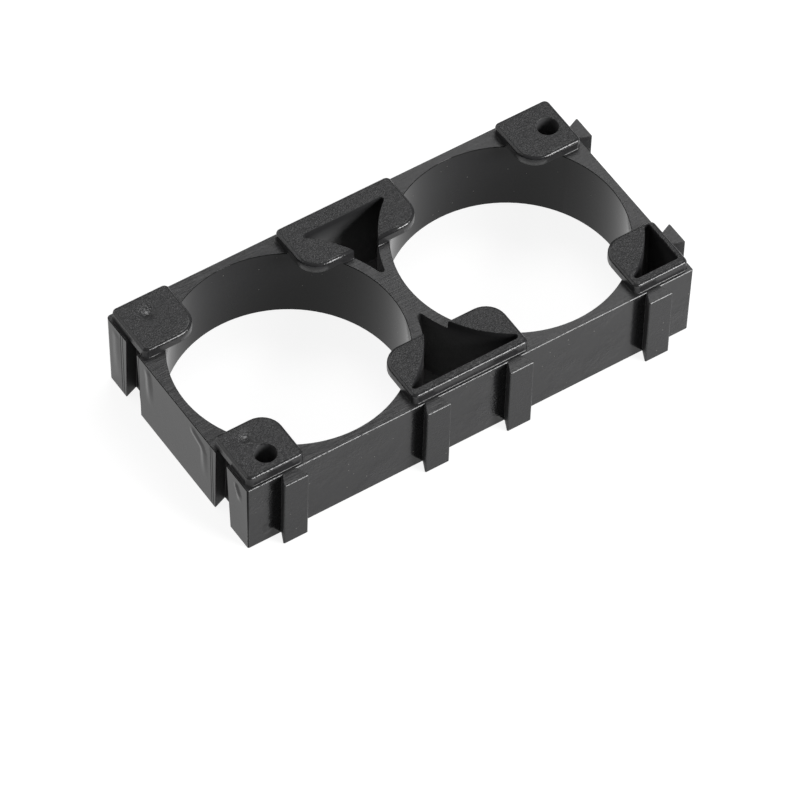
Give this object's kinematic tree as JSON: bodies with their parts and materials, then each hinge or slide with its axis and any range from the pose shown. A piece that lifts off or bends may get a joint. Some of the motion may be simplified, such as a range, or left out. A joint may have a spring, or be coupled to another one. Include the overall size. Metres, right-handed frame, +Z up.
{
  "type": "battery cell holder bracket",
  "caption": "Moulded rectangular bracket with side-by-side bores for cylindrical battery cells, retaining pads on top, and dovetail tabs and slots for joining more brackets.",
  "frame": {"origin": "middle of the web between the two bores, on the bottom face", "axes": "+X along the row of cells towards the tabbed end wall, +Y across it towards the slotted long wall, +Z up from the bottom face to the pads"},
  "size_m": [0.0471, 0.0242, 0.0091],
  "materials": {
    "black_abs": "satin moulded black ABS, pad tops finely sandblasted"
  },
  "bodies": {
    "root": {"cell_bracket": "black_abs"}
  },
  "joints": []
}
